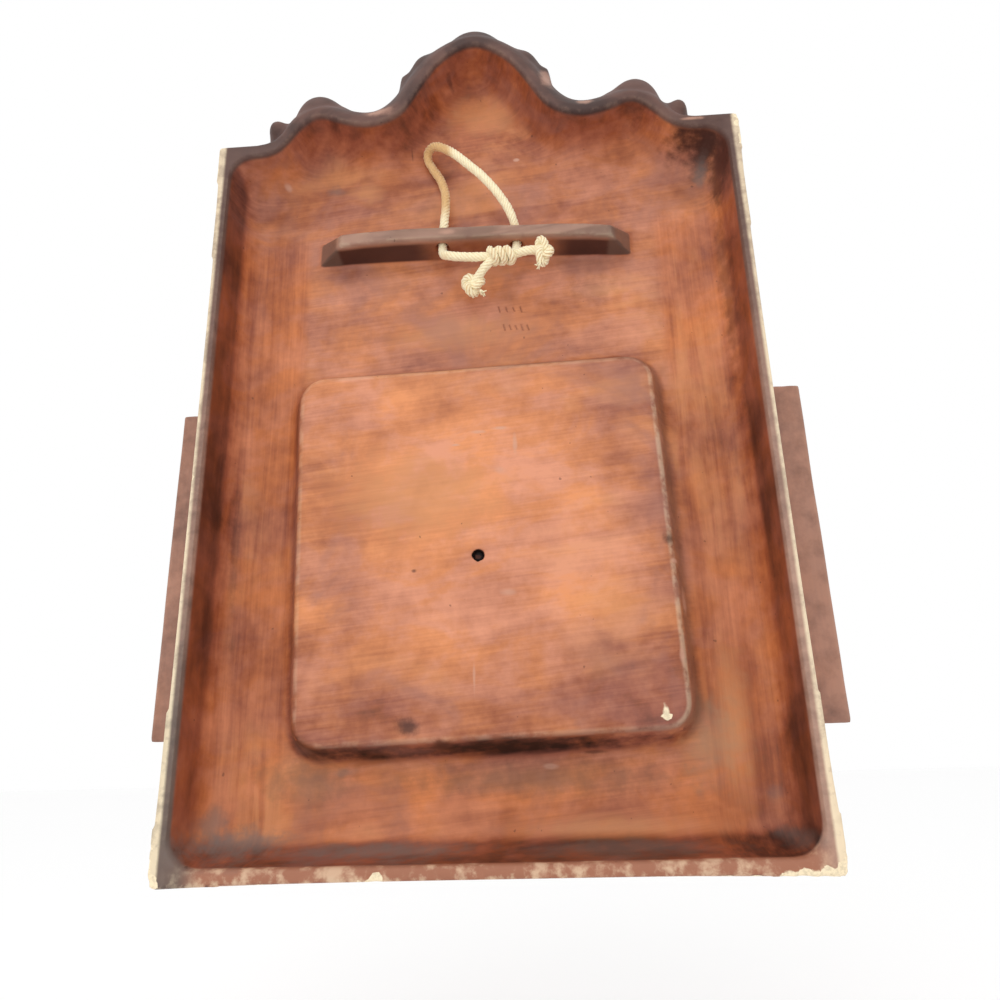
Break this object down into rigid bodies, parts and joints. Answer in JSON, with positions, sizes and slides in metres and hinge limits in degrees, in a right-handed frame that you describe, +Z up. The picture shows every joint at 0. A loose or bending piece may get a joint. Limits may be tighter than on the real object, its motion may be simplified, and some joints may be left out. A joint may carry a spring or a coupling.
{
  "type": "wall plaque",
  "caption": "Decorative hollow-backed ceramic wall plaque with a niche, open shutters and a scalloped crest, and a knotted cotton cord through a bar across its back.",
  "frame": {"origin": "on the flat rim along the bottom edge of the open back, midway between the sides, in the plane of the wall", "axes": "+X to the right as the front is seen, +Y into the wall, +Z up the wall; the front faces -Y"},
  "size_m": [0.335, 0.046, 0.4641],
  "materials": {
    "stained_ceramic": "brown stain brushed over cream bisque, with a thin satin varnish, worn at the edges",
    "cotton_cord": "natural twisted cotton"
  },
  "bodies": {
    "root": {"plaque": "stained_ceramic", "cord_loop": "cotton_cord", "cord_tail_right": "cotton_cord", "cord_tail_left": "cotton_cord", "cord_main_knot": "cotton_cord", "cord_end_knot_right": "cotton_cord", "cord_end_knot_left": "cotton_cord"}
  },
  "joints": []
}
